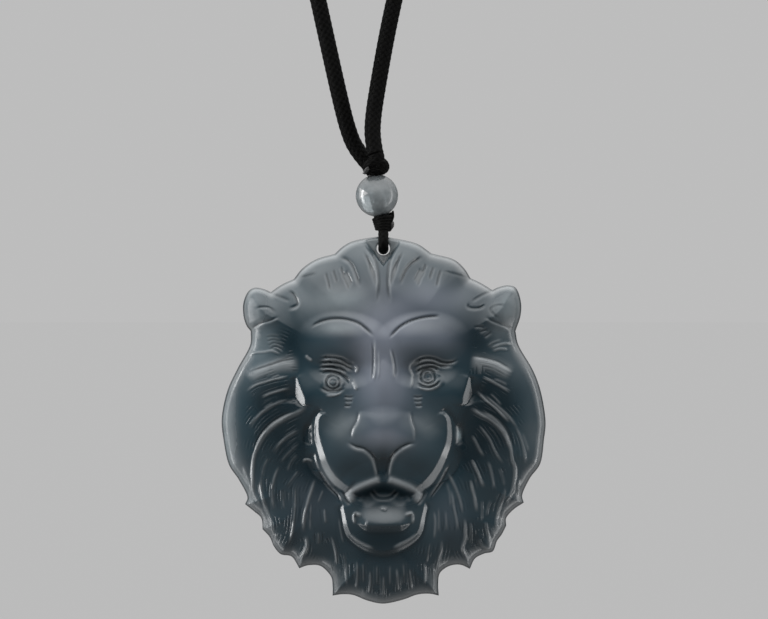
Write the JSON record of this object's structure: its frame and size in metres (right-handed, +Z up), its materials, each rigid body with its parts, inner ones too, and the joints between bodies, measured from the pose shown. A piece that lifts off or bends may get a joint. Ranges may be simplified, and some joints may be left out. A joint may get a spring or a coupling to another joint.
{
  "type": "carved pendant necklace",
  "caption": "Necklace of black woven cord with a round bead and a carved lion head pendant that hangs from a thin cord loop.",
  "frame": {"origin": "on the nape of the neck: the middle of the cord's back stretch, on the side that lies on the neck", "axes": "+Z up, the carved face looks towards -Y, +X to the right of someone who looks at the face"},
  "size_m": [0.109, 0.1309, 0.3006],
  "materials": {
    "carved_jade": "polished",
    "bead_stone": "polished",
    "black_cord": "woven"
  },
  "bodies": {
    "cord_set": {"neck_cord": "black_cord", "top_knot": "black_cord", "bead": "bead_stone", "bead_thread": "black_cord", "wrap_knot": "black_cord", "hanger_loop": "black_cord"},
    "pendant": {"lion_head": "carved_jade"}
  },
  "joints": [
    {"name": "pendant_swing", "type": "hinge", "parent": "cord_set", "child": "pendant", "pos_m": [0, -0.118, -0.245], "axis": [0, 1, 0], "range_deg": [-15, 15]}
  ]
}
